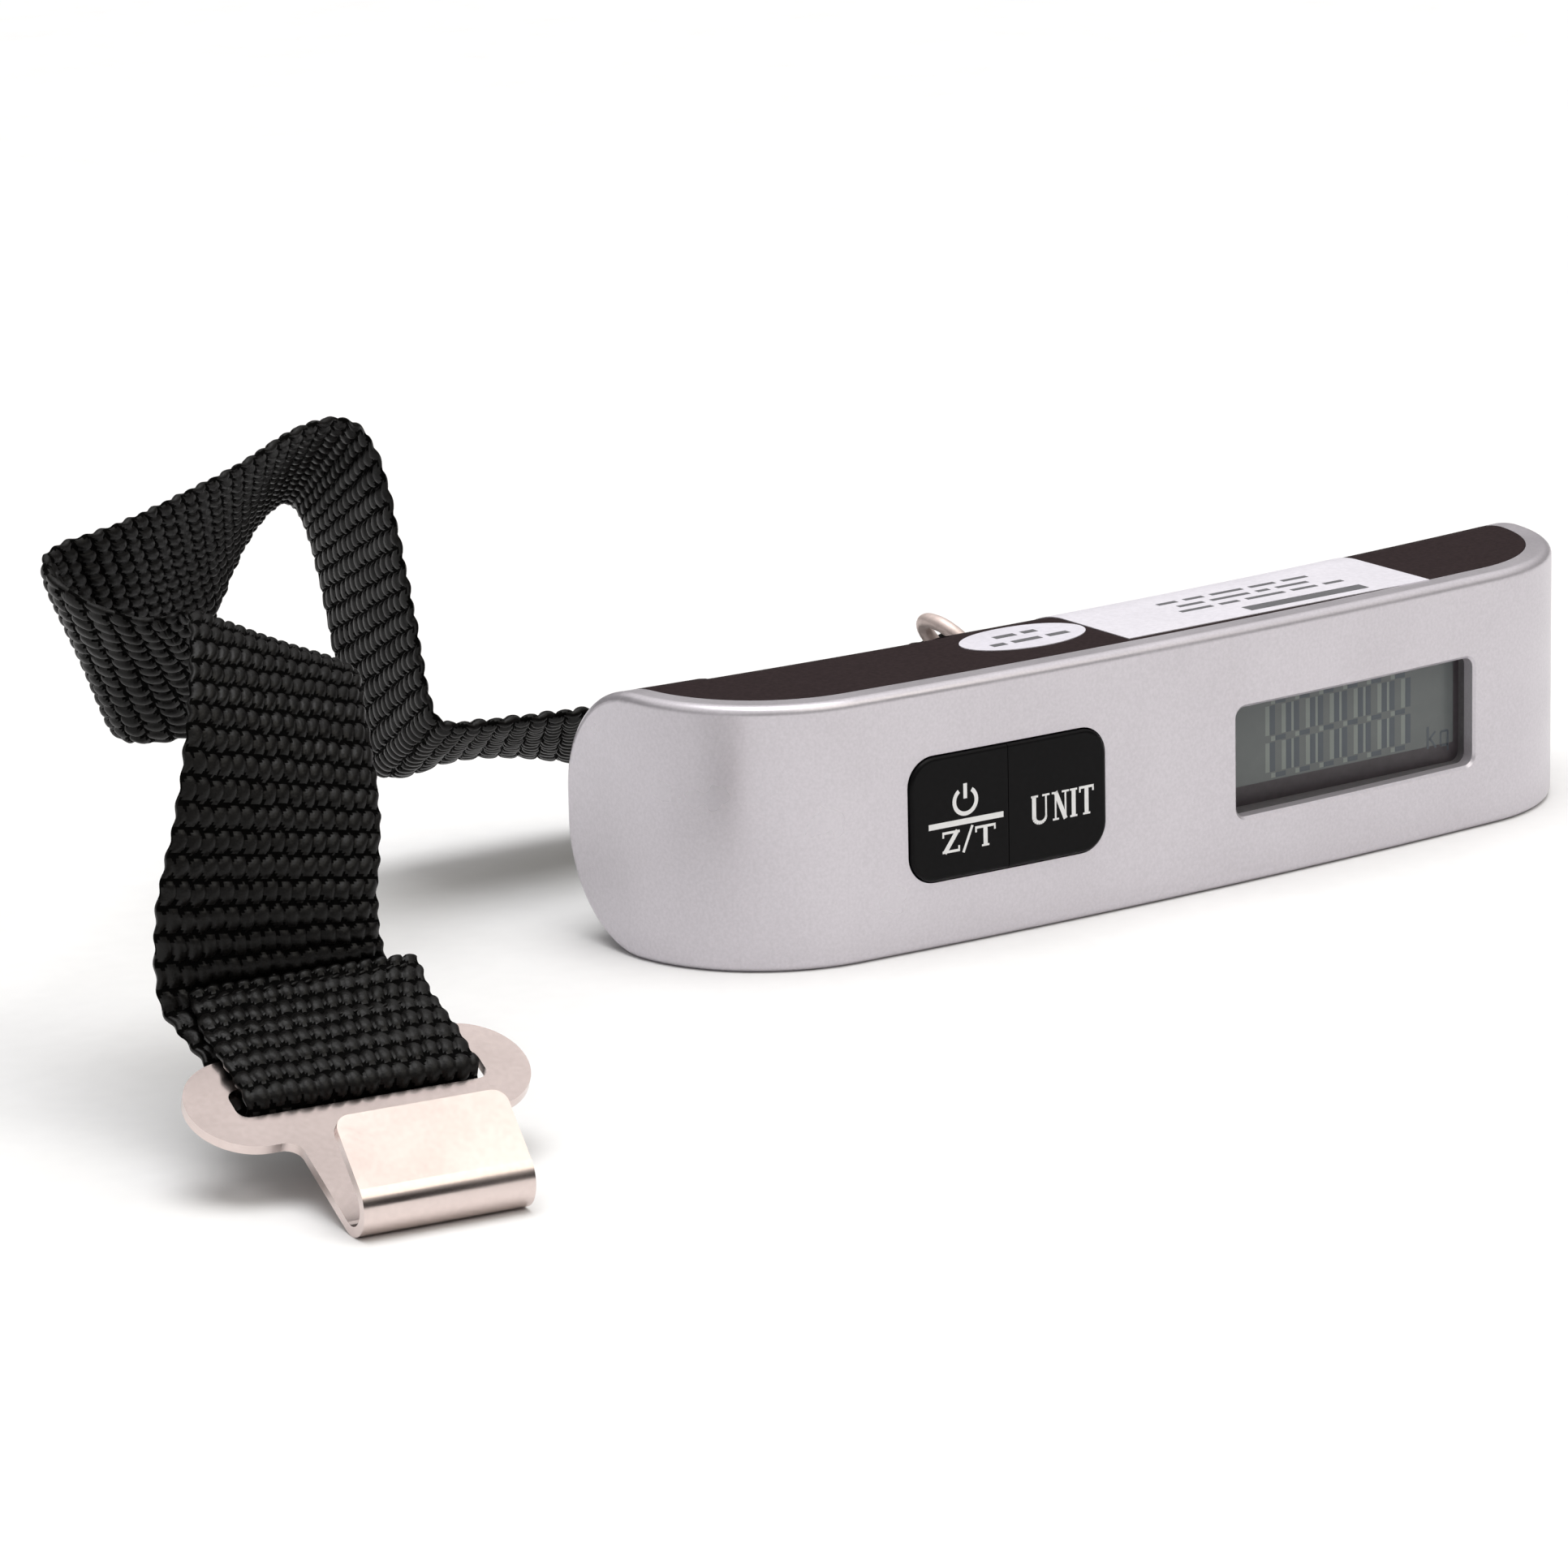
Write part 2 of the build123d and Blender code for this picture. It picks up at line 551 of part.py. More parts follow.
with BuildPart() as hook_plate:
    with BuildSketch(Plane(origin=PLATE_ORIGIN, x_dir=PLATE_ACROSS, z_dir=PLATE_UP)) as flat:
        with Locations((0, WING_CENTRE)):
            SlotOverall(PLATE_WIDTH, 2 * WING_RADIUS)
        with Locations((0, (ROLL_RADIUS + WING_CENTRE) / 2)):
            Rectangle(TONGUE_WIDTH, WING_CENTRE - ROLL_RADIUS)
        neck_y = WING_CENTRE - WING_RADIUS
        neck = [point for point in flat.vertices() if abs(abs(point.X) - TONGUE_WIDTH / 2) < 0.1]
        fillet([point for point in neck if abs(point.Y - neck_y) < 0.1], NECK_RADIUS)
        with Locations((0, sum(SLOT_SPAN) / 2)):
            RectangleRounded(SLOT_WIDE, SLOT_SPAN[1] - SLOT_SPAN[0], 1.5, mode=Mode.SUBTRACT)
    extrude(amount=PLATE_SHEET)
    profile = Plane(
        origin=on_plate(-TONGUE_WIDTH / 2, 0, 0), x_dir=PLATE_BACK, z_dir=PLATE_ACROSS
    )
    inner = ROLL_RADIUS - PLATE_SHEET
    end_angle = 90 + LIP_OPENING
    with BuildSketch(profile):
        with BuildLine():
            Line((ROLL_RADIUS, 0), (ROLL_RADIUS, PLATE_SHEET))
            ThreePointArc(
                roll_point(inner, 270), roll_point(inner, 180), roll_point(inner, end_angle)
            )
            Polyline(
                roll_point(inner, end_angle),
                lip_point(inner, LIP_LENGTH),
                lip_point(ROLL_RADIUS, LIP_LENGTH),
                roll_point(ROLL_RADIUS, end_angle),
            )
            ThreePointArc(
                roll_point(ROLL_RADIUS, end_angle),
                roll_point(ROLL_RADIUS, 180),
                roll_point(ROLL_RADIUS, 270),
            )
        make_face()
    extrude(amount=TONGUE_WIDTH)
    lip_end = lip_point((inner + ROLL_RADIUS) / 2, LIP_LENGTH)
    free_corners = [
        edge
        for edge in hook_plate.edges().filter_by(GeomType.LINE)
        if abs(edge.length - PLATE_SHEET) < 0.01
        and (edge.center() - on_plate(0, *lip_end)).length < TONGUE_WIDTH / 2 + 0.5
    ]
    fillet(free_corners, LIP_CORNER)
finish(hook_plate.part, "hook_plate")

# ---- webbing -----------------------------------------------------------------------------
RING_ALONG = Vector(sin(lean), 0, -cos(lean))
PULL = Vector(-0.5, 0.8, -0.39).normalized()
PULL_SIDE = RING_ALONG.cross(PULL)
RING_BAR = Vector(0, from_front(EYE_DEPTH + RING_WIDTH - RING_WIRE), MID_Z)
STRAP_SHIFT = 1.3        # the webbing hangs this far down the ring's bar
STRAP_AT_BAR = RING_BAR + RING_ALONG * STRAP_SHIFT


def at_ring(away, side):
    """Webbing station beside the ring's outer bar: centre and crosswise direction."""
    return (STRAP_AT_BAR + PULL * away + PULL_SIDE * side, RING_ALONG)


def at_plate(back, up, sideways=0):
    """Webbing station on the hook plate."""
    return (on_plate(sideways, back, up), PLATE_ACROSS)


# each station is a centre and the crosswise direction from the upper edge to the lower one
ROUTE = [
    ((-19.0, 37.0, 11.8), (0.55, 0.47, -0.69)),
    ((-42.0, 40.0, 15.0), (0.45, 0.72, -0.53)),
    ((-66.5, 41.0, 19.0), (0.42, 0.84, -0.34)),
    ((-77.5, 41.0, 18.0), (0.22, 0.85, -0.48)),
    ((-79.0, 42.0, 24.0), (0.19, 0.87, -0.46)),
    ((-80.0, 43.5, 32.5), (0.15, 0.90, -0.40)),
    ((-82.0, 43.5, 44.0), (0.16, 0.92, -0.36)),
    ((-85.0, 42.0, 54.0), (0.14, 0.87, -0.48)),
    ((-90.0, 39.0, 59.5), (0.16, 0.83, -0.53)),
    ((-98.0, 35.0, 60.0), (0.27, 0.79, -0.54)),
    ((-109.0, 27.5, 57.5), (0.37, 0.73, -0.57)),
    ((-121.5, 18.5, 53.5), (0.41, 0.50, -0.76)),
    ((-133.5, 10.5, 51.5), (0.41, 0.34, -0.85)),
    ((-143.5, 7.0, 50.5), (0.41, 0.22, -0.88)),
    ((-147.0, 0.0, 50.0), (0.49, 0.26, -0.83)),
    ((-144.0, -5.0, 48.5), (0.54, 0.42, -0.73)),
    ((-137.0, -8.0, 48.0), (0.63, 0.46, -0.62)),
    ((-132.0, -13.0, 51.0), (0.79, 0.32, -0.52)),
    ((-133.0, -20.5, 54.0), (0.90, 0.21, -0.38)),
    ((-137.0, -27.0, 49.5), (0.93, 0.22, -0.30)),
    ((-139.5, -31.5, 44.0), (0.94, 0.14, -0.30)),
    ((-142.0, -34.5, 36.0), (0.98, 0.05, -0.21)),
    ((-145.5, -36.5, 27.5), (0.99, -0.05, -0.16)),
]
RING_LOOP = [
    at_ring(13.0, -0.98),
    at_ring(8.0, -1.2),
    at_ring(4.0, -2.0),
    at_ring(-2.7, -2.3),
    at_ring(-2.7, 2.3),
    at_ring(4.0, 2.0),
    at_ring(8.0, 1.2),
    at_ring(13.0, 0.98),
]
PLATE_LOOP = [
    at_plate(44.5, 0.4, -2.4),
    at_plate(41.0, -0.35, -1.6),
    at_plate(37.0, -0.45, -0.8),
    at_plate(33.4, -1.2),
    at_plate(27.5, -1.25),
    at_plate(23.6, -1.25),
    at_plate(23.6, 2.45),
    at_plate(27.5, 2.4),
    at_plate(33.4, 2.3),
    at_plate(37.0, 1.65),
    at_plate(41.0, 1.65, 0.6),
    at_plate(43.5, 1.9, 0.9),
]
STATIONS = RING_LOOP + [(Vector(*c), Vector(*a)) for c, a in ROUTE] + PLATE_LOOP
GATHERED_WIDTH = 22.0    # the webbing narrows to fit inside the ring
GATHERED_UNTIL = 6.0     # stations
FULL_FROM = 9.0
STEPS_PER_STATION = 3


def on_curve(values, t):
    """Point of the clamped quadratic B-spline through these control values."""
    last = len(values) - 3
    i = min(int(t), last)
    knots = [0, 0, 0] + list(range(1, last + 1)) + [last + 1] * 3
    d = [values[i], values[i + 1], values[i + 2]]
    for r in (1, 2):
        for j in range(2, r - 1, -1):
            low = knots[j + i]
            high = knots[j + i + 3 - r]
            a = (t - low) / (high - low)
            d[j] = d[j - 1] * (1 - a) + d[j] * a
    return d[2]


def webbing_section(t):
    """Plane across the webbing at t, and its width there."""
    end = len(STATIONS) - 2
    centres = [c for c, _ in STATIONS]
    before = on_curve(centres, max(t - 0.02, 0))
    after = on_curve(centres, min(t + 0.02, end))
    across = on_curve([a for _, a in STATIONS], t).normalized()
    normal = (after - before).cross(across).normalized()
    full = min(max((t - GATHERED_UNTIL) / (FULL_FROM - GATHERED_UNTIL), 0), 1)
    width = GATHERED_WIDTH + (WEBBING_WIDTH - GATHERED_WIDTH) * full
    plane = Plane(origin=on_curve(centres, t), x_dir=across, z_dir=across.cross(normal))
    return plane, width


with BuildPart() as strap:
    for step in range((len(STATIONS) - 2) * STEPS_PER_STATION + 1):
        section, width = webbing_section(step / STEPS_PER_STATION)
        with BuildSketch(section):
            Rectangle(width, WEBBING_THICKNESS)
    loft(ruled=True)
finish(strap.part, "strap")

# ---- stitching ---------------------------------------------------------------------------
THREAD = 0.3


def stitch_frame(origin, across, lift, size):
    """Sewn rectangle of thread lying on the webbing, with one diagonal."""
    with BuildPart() as frame:
        with BuildSketch(Plane(origin=origin, x_dir=across, z_dir=lift)):
            Rectangle(*size)
            Rectangle(size[0] - 2 * THREAD, size[1] - 2 * THREAD, mode=Mode.SUBTRACT)
            Rectangle(size[0] - THREAD, THREAD)
        extrude(amount=THREAD)
    return frame.part


with BuildPart() as strap_stitching:
    add(stitch_frame(on_plate(0, 39.0, 2.95), PLATE_ACROSS, PLATE_UP, (23.0, 7.0)))
    ring_seam = STRAP_AT_BAR + PULL * 10.2 + PULL_SIDE * 2.2
    add(stitch_frame(ring_seam, RING_ALONG, PULL_SIDE, (18.0, 3.4)))
finish(strap_stitching.part, "strap_stitching")

# ---- labels ------------------------------------------------------------------------------
LABEL_THICKNESS = 0.1
LABEL_X = (-7.7, 41.8)
LABEL_DEPTHS = (4.3, 24.5)
OVAL_CENTRE = (-17.4, 13.8)
OVAL_SIZE = (9.2, 5.4)


def label_skin():
    """Thin layer lying on the upper side face and over its back edge."""
    with BuildPart() as skin:
        add(bar_space(-LABEL_THICKNESS).part)
        add(bar_space(0).part, mode=Mode.SUBTRACT)
        add(slab((-HALF_LENGTH, HALF_LENGTH), (-5, BACK), (MID_Z + 8, HEIGHT + 5)), mode=Mode.INTERSECT)
    return skin.part


with BuildPart() as rating_label:
    add(label_skin())
    add(slab(LABEL_X, LABEL_DEPTHS, ALL_Z), mode=Mode.INTERSECT)
finish(rating_label.part, "rating_label")

with BuildPart() as oval:
    with BuildSketch(Plane.XY.offset(HEIGHT - 5)):
        with Locations((OVAL_CENTRE[0], from_front(OVAL_CENTRE[1]))):
            Ellipse(*OVAL_SIZE)
    extrude(amount=10)

with BuildPart() as inspection_label:
    add(label_skin())
    add(oval.part, mode=Mode.INTERSECT)
finish(inspection_label.part, "inspection_label")
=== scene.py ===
import json
import math
import bpy
from mathutils import Matrix, Vector


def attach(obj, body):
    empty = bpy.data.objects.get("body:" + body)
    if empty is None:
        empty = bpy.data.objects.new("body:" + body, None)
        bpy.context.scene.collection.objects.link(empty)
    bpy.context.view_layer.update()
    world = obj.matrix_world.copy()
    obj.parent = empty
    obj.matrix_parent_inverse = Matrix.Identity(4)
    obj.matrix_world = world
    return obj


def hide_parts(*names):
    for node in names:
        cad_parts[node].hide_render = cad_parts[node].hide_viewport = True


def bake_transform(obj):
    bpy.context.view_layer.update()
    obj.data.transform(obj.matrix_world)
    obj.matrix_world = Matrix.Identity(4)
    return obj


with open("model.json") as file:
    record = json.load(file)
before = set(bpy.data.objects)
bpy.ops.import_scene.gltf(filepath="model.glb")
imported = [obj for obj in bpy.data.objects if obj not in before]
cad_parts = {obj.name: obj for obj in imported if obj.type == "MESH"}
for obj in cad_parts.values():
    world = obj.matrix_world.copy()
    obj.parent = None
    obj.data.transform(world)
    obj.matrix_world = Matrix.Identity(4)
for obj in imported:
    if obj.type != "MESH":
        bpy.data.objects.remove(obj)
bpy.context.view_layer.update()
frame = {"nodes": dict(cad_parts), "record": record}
nodes = frame["nodes"]
scene = bpy.context.scene

# ---- camera ------------------------------------------------------------------------------------
ELEVATION = math.radians(15.0)
TURN = math.radians(34.93)       # azimuth of the view direction, from +Y towards +X
ROLL = math.radians(-1.26)
DISTANCE = 0.928
OFFSET_RIGHT = 0.0531
OFFSET_UP = -0.0141
FRONT_Y = -0.0245                # middle of the front of the case
SENSOR = 36.0
LENS = 166.8
CLIP_START = 0.01

forward = Vector((
    math.sin(TURN) * math.cos(ELEVATION),
    math.cos(TURN) * math.cos(ELEVATION),
    -math.sin(ELEVATION),
))
level = Vector((math.cos(TURN), -math.sin(TURN), 0))
above = level.cross(forward)
right = level * math.cos(ROLL) + above * math.sin(ROLL)
up = above * math.cos(ROLL) - level * math.sin(ROLL)
place = Vector((0, FRONT_Y, 0)) - right * OFFSET_RIGHT - up * OFFSET_UP - forward * DISTANCE

camera_data = bpy.data.cameras.new("camera")
camera_data.lens = LENS
camera_data.sensor_width = SENSOR
camera_data.clip_start = CLIP_START
camera = bpy.data.objects.new("camera", camera_data)
scene.collection.objects.link(camera)
camera.matrix_world = Matrix((
    (right.x, up.x, -forward.x, place.x),
    (right.y, up.y, -forward.y, place.y),
    (right.z, up.z, -forward.z, place.z),
    (0, 0, 0, 1),
))
scene.camera = camera


# ---- helpers -----------------------------------------------------------------------------------
NOISE_LOW, NOISE_HIGH = 0.3, 0.7       # range that the values of a noise mostly stay in
FINE_DETAIL = 2.0
BROAD_SCALE, BROAD_DETAIL = 60.0, 4.0


def new_mesh(name, verts, faces, smooth=True):
    """Mesh object from vertices in the shared frame."""
    data = bpy.data.meshes.new(name)
    data.from_pydata([tuple(v) for v in verts], [], faces)
    data.update()
    if smooth:
        data.polygons.foreach_set("use_smooth", [True] * len(data.polygons))
    obj = bpy.data.objects.new(name, data)
    scene.collection.objects.link(obj)
    return obj


def material(name, colour, roughness, metallic, specular):
    """Principled material, returned with its node tree and shader for more detail."""
    made = bpy.data.materials.new(name)
    made.use_nodes = True
    tree = made.node_tree
    shader = tree.nodes["Principled BSDF"]
    shader.inputs["Base Color"].default_value = (*colour, 1)
    shader.inputs["Roughness"].default_value = roughness
    shader.inputs["Metallic"].default_value = metallic
    shader.inputs["Specular IOR Level"].default_value = specular
    return made, tree, shader


def noise(tree, scale, detail):
    """Noise in object coordinates, which are the shared frame in metres."""
    where = tree.nodes.new("ShaderNodeTexCoord")
    texture = tree.nodes.new("ShaderNodeTexNoise")
    texture.inputs["Scale"].default_value = scale
    texture.inputs["Detail"].default_value = detail
    tree.links.new(where.outputs["Object"], texture.inputs["Vector"])
    return texture.outputs["Fac"]


def ramp(tree, value, low, high):
    """Maps a noise value to a colour between two."""
    made = tree.nodes.new("ShaderNodeValToRGB")
    made.color_ramp.elements[0].position = NOISE_LOW
    made.color_ramp.elements[0].color = (*low, 1)
    made.color_ramp.elements[1].position = NOISE_HIGH
    made.color_ramp.elements[1].color = (*high, 1)
    tree.links.new(value, made.inputs["Fac"])
    return made.outputs["Color"]


def vary(tree, value, low, high):
    """Maps a noise value to a range of plain numbers."""
    made = tree.nodes.new("ShaderNodeMapRange")
    made.inputs["From Min"].default_value = NOISE_LOW
    made.inputs["From Max"].default_value = NOISE_HIGH
    made.inputs["To Min"].default_value = low
    made.inputs["To Max"].default_value = high
    tree.links.new(value, made.inputs["Value"])
    return made.outputs["Result"]


def bump(tree, shader, value, strength, distance):
    """Fine relief on a shader."""
    made = tree.nodes.new("ShaderNodeBump")
    made.inputs["Strength"].default_value = strength
    made.inputs["Distance"].default_value = distance
    tree.links.new(value, made.inputs["Height"])
    tree.links.new(made.outputs["Normal"], shader.inputs["Normal"])


def grained(name, colour, roughness, metallic=0.0, scale=900.0, depth=0.12, spread=0.12,
            distance=0.00006, rough_spread=0.06, specular=0.5):
    """Material with fine variation in colour and relief, and broad variation in gloss."""
    made, tree, shader = material(name, colour, roughness, metallic, specular)
    fine = noise(tree, scale, FINE_DETAIL)
    broad = noise(tree, BROAD_SCALE, BROAD_DETAIL)
    low = tuple(c * (1 - spread) for c in colour)
    high = tuple(min(1.0, c * (1 + spread)) for c in colour)
    tree.links.new(ramp(tree, fine, low, high), shader.inputs["Base Color"])
    rough = vary(tree, broad, roughness - rough_spread, roughness + rough_spread)
    tree.links.new(rough, shader.inputs["Roughness"])
    bump(tree, shader, fine, depth, distance)
    return made


# ---- materials of the CAD nodes ----------------------------------------------------------------
FINISH = {
    "silver": grained("silver_paint", (0.62, 0.59, 0.63), 0.33, metallic=0.55, scale=2600.0,
                      depth=0.05, spread=0.05, distance=0.00002),
    "housing": grained("dark_plastic", (0.028, 0.019, 0.020), 0.60, scale=1700.0, depth=0.22,
                       spread=0.16, specular=0.04),
    "key_black": grained("key_plastic", (0.0028, 0.0026, 0.0030), 0.36, scale=1500.0, depth=0.08,
                         spread=0.2, distance=0.00004, rough_spread=0.05, specular=0.10),
    "lcd": grained("display", (0.115, 0.128, 0.128), 0.22, scale=500.0, depth=0.02, spread=0.03),
    "lcd_bezel": grained("bezel_plastic", (0.11, 0.105, 0.11), 0.5, scale=1500.0, depth=0.2),
    "elastomer": grained("elastomer", (0.55, 0.36, 0.38), 0.7, depth=0.2, spread=0.15),
    "board": grained("solder_mask", (0.01, 0.11, 0.04), 0.35, scale=700.0, depth=0.2, spread=0.25),
    "chip": grained("epoxy", (0.012, 0.012, 0.012), 0.45, scale=1200.0, depth=0.25, spread=0.25),
    "switch": grained("switch_plastic", (0.02, 0.02, 0.02), 0.5, scale=1200.0, depth=0.2,
                      spread=0.2),
    "plunger": grained("plunger_plastic", (0.55, 0.52, 0.42), 0.5, scale=1200.0, depth=0.2,
                       spread=0.1),
    "nickel": grained("nickel_plate", (0.70, 0.60, 0.57), 0.22, metallic=1.0, scale=1400.0,
                      depth=0.04, spread=0.03, distance=0.00002, rough_spread=0.05),
    "steel": grained("zinc_steel", (0.5, 0.5, 0.5), 0.35, metallic=1.0, scale=1100.0, depth=0.15,
                     spread=0.08),
    "beam": grained("milled_aluminium", (0.72, 0.72, 0.74), 0.35, metallic=1.0, scale=1100.0,
                    depth=0.2, spread=0.06),
    "gauge": grained("amber_film", (0.45, 0.22, 0.05), 0.4, depth=0.1, spread=0.1),
    "cell": grained("cell_can", (0.6, 0.6, 0.59), 0.3, metallic=1.0, scale=1100.0, spread=0.05),
    "thread": grained("thread", (0.005, 0.0048, 0.0048), 0.75, scale=2400.0, depth=0.6,
                      spread=0.3, distance=0.0001),
    "label": grained("label_paper", (0.76, 0.74, 0.80), 0.42, scale=1600.0, depth=0.1,
                     spread=0.05),
    "oval_label": grained("sticker_paper", (0.74, 0.72, 0.79), 0.42, scale=1600.0, depth=0.1,
                          spread=0.05),
    "webbing": grained("webbing_yarn", (0.0030, 0.0026, 0.0023), 0.40, scale=3200.0, depth=0.45,
                       spread=0.35, distance=0.0001, rough_spread=0.08, specular=0.20),
}
for part in frame["record"]["subparts"]:
    obj = nodes[part["node"]]
    obj.data.materials.clear()
    obj.data.materials.append(FINISH[part["material_slot"]])
satin_wire = grained("satin_wire", (0.74, 0.62, 0.58), 0.48, metallic=0.55, scale=1400.0,
                     depth=0.06, spread=0.06, distance=0.00003)
for name in ("ring", "hanger_eye"):
    nodes[name].data.materials.clear()
    nodes[name].data.materials.append(satin_wire)

# ---- webbing route (the same stations as the CAD strap, in metres) -----------------------------
PLATE_ORIGIN = Vector((-0.1476, -0.0761, -0.00116))
PLATE_TURN = math.radians(-7.5)
PLATE_RISE = math.radians(25.0)
PLATE_ACROSS = Vector((math.cos(PLATE_TURN), math.sin(PLATE_TURN), 0))
PLATE_BACK = Vector((
    -math.sin(PLATE_TURN) * math.cos(PLATE_RISE),
    math.cos(PLATE_TURN) * math.cos(PLATE_RISE),
    math.sin(PLATE_RISE),
))
PLATE_UP = PLATE_ACROSS.cross(PLATE_BACK)
LEAN = math.radians(38.0)
RING_ALONG = Vector((math.sin(LEAN), 0, -math.cos(LEAN)))
RING_BAR = Vector((0, 0.0235, 0.017))
STRAP_SHIFT = 0.0013             # of the webbing along the bar, clear of the ring corner
STRAP_AT_BAR = RING_BAR + RING_ALONG * STRAP_SHIFT
PULL = Vector((-0.5, 0.8, -0.39)).normalized()
PULL_SIDE = RING_ALONG.cross(PULL)


def on_plate(across, back, lift):
    """Point given in the hook plate's own directions, in millimetres."""
    shift = PLATE_ACROSS * across + PLATE_BACK * back + PLATE_UP * lift
    return PLATE_ORIGIN + shift / 1000


def at_ring(away, side):
    """Webbing station beside the ring's outer bar, in millimetres."""
    return (STRAP_AT_BAR + (PULL * away + PULL_SIDE * side) / 1000, RING_ALONG)


def at_plate(back, lift, sideways=0):
    """Webbing station on the hook plate."""
    return (on_plate(sideways, back, lift), PLATE_ACROSS)


ROUTE = [
    ((-0.0190, 0.0370, 0.0118), (0.55, 0.47, -0.69)),
    ((-0.0420, 0.0400, 0.0150), (0.45, 0.72, -0.53)),
    ((-0.0665, 0.0410, 0.0190), (0.42, 0.84, -0.34)),
    ((-0.0775, 0.0410, 0.0180), (0.22, 0.85, -0.48)),
    ((-0.0790, 0.0420, 0.0240), (0.19, 0.87, -0.46)),
    ((-0.0800, 0.0435, 0.0325), (0.15, 0.90, -0.40)),
    ((-0.0820, 0.0435, 0.0440), (0.16, 0.92, -0.36)),
    ((-0.0850, 0.0420, 0.0540), (0.14, 0.87, -0.48)),
    ((-0.0900, 0.0390, 0.0595), (0.16, 0.83, -0.53)),
    ((-0.0980, 0.0350, 0.0600), (0.27, 0.79, -0.54)),
    ((-0.1090, 0.0275, 0.0575), (0.37, 0.73, -0.57)),
    ((-0.1215, 0.0185, 0.0535), (0.41, 0.50, -0.76)),
    ((-0.1335, 0.0105, 0.0515), (0.41, 0.34, -0.85)),
    ((-0.1435, 0.0070, 0.0505), (0.41, 0.22, -0.88)),
    ((-0.1470, 0.0000, 0.0500), (0.49, 0.26, -0.83)),
    ((-0.1440, -0.0050, 0.0485), (0.54, 0.42, -0.73)),
    ((-0.1370, -0.0080, 0.0480), (0.63, 0.46, -0.62)),
    ((-0.1320, -0.0130, 0.0510), (0.79, 0.32, -0.52)),
    ((-0.1330, -0.0205, 0.0540), (0.90, 0.21, -0.38)),
    ((-0.1370, -0.0270, 0.0495), (0.93, 0.22, -0.30)),
    ((-0.1395, -0.0315, 0.0440), (0.94, 0.14, -0.30)),
    ((-0.1420, -0.0345, 0.0360), (0.98, 0.05, -0.21)),
    ((-0.1455, -0.0365, 0.0275), (0.99, -0.05, -0.16)),
]
RING_LOOP = [
    at_ring(13.0, -0.98),
    at_ring(8.0, -1.2),
    at_ring(4.0, -2.0),
    at_ring(-2.7, -2.3),
    at_ring(-2.7, 2.3),
    at_ring(4.0, 2.0),
    at_ring(8.0, 1.2),
    at_ring(13.0, 0.98),
]
PLATE_LOOP = [
    at_plate(44.5, 0.4, -2.4),
    at_plate(41.0, -0.35, -1.6),
    at_plate(37.0, -0.45, -0.8),
    at_plate(33.4, -1.2),
    at_plate(27.5, -1.25),
    at_plate(23.6, -1.25),
    at_plate(23.6, 2.45),
    at_plate(27.5, 2.4),
    at_plate(33.4, 2.3),
    at_plate(37.0, 1.65),
    at_plate(41.0, 1.65, 0.6),
    at_plate(43.5, 1.9, 0.9),
]
STATIONS = RING_LOOP + [(Vector(c), Vector(a)) for c, a in ROUTE] + PLATE_LOOP
WEBBING_WIDTH = 0.029
GATHERED_WIDTH = 0.0220
WEBBING_THICKNESS = 0.0018
WIDEN_FROM, WIDEN_OVER = 0.030, 0.018      # where the gathered webbing opens to full width
STEPS_PER_SPAN = 24


def nurbs_line(name, points):
    """Points read from a smooth open NURBS spline with these control points."""
    data = bpy.data.curves.new(name, "CURVE")
    data.dimensions = "3D"
    data.resolution_u = STEPS_PER_SPAN
    spline = data.splines.new("NURBS")
    spline.points.add(len(points) - 1)
    for control, point in zip(spline.points, points):
        control.co = (*point, 1)
    spline.order_u = 3
    spline.use_endpoint_u = True
    obj = bpy.data.objects.new(name, data)
    scene.collection.objects.link(obj)
    bpy.context.view_layer.update()
    mesh = bpy.data.meshes.new_from_object(obj)
    made = [v.co.copy() for v in mesh.vertices]
    bpy.data.objects.remove(obj)
    bpy.data.meshes.remove(mesh)
    return made


MIDDLE = nurbs_line("strap_line", [c for c, _ in STATIONS])
SIDEWAYS = nurbs_line("strap_crosswise", [a for _, a in STATIONS])
ALONG = [0.0]
for before, after in zip(MIDDLE, MIDDLE[1:]):
    ALONG.append(ALONG[-1] + (after - before).length)
TOTAL = ALONG[-1]


def place_at(s):
    """Index and fraction along the read line at that distance."""
    low, high = 0, len(ALONG) - 1
    while high - low > 1:
        mid = (low + high) // 2
        if ALONG[mid] <= s:
            low = mid
        else:
            high = mid
    return low, min(max((s - ALONG[low]) / (ALONG[high] - ALONG[low]), 0), 1)


def tangent(i):
    """Direction of the line at one of its points."""
    return (MIDDLE[min(i + 1, len(MIDDLE) - 1)] - MIDDLE[max(i - 1, 0)]).normalized()


def section(s):
    """Centre, crosswise direction, normal and width of the webbing at that distance."""
    i, part = place_at(s)
    centre = MIDDLE[i].lerp(MIDDLE[i + 1], part)
    across = SIDEWAYS[i].lerp(SIDEWAYS[i + 1], part).normalized()
    normal = tangent(i).lerp(tangent(i + 1), part).cross(across).normalized()
    full = min(max((s - WIDEN_FROM) / WIDEN_OVER, 0), 1)
    return centre, across, normal, GATHERED_WIDTH + (WEBBING_WIDTH - GATHERED_WIDTH) * full


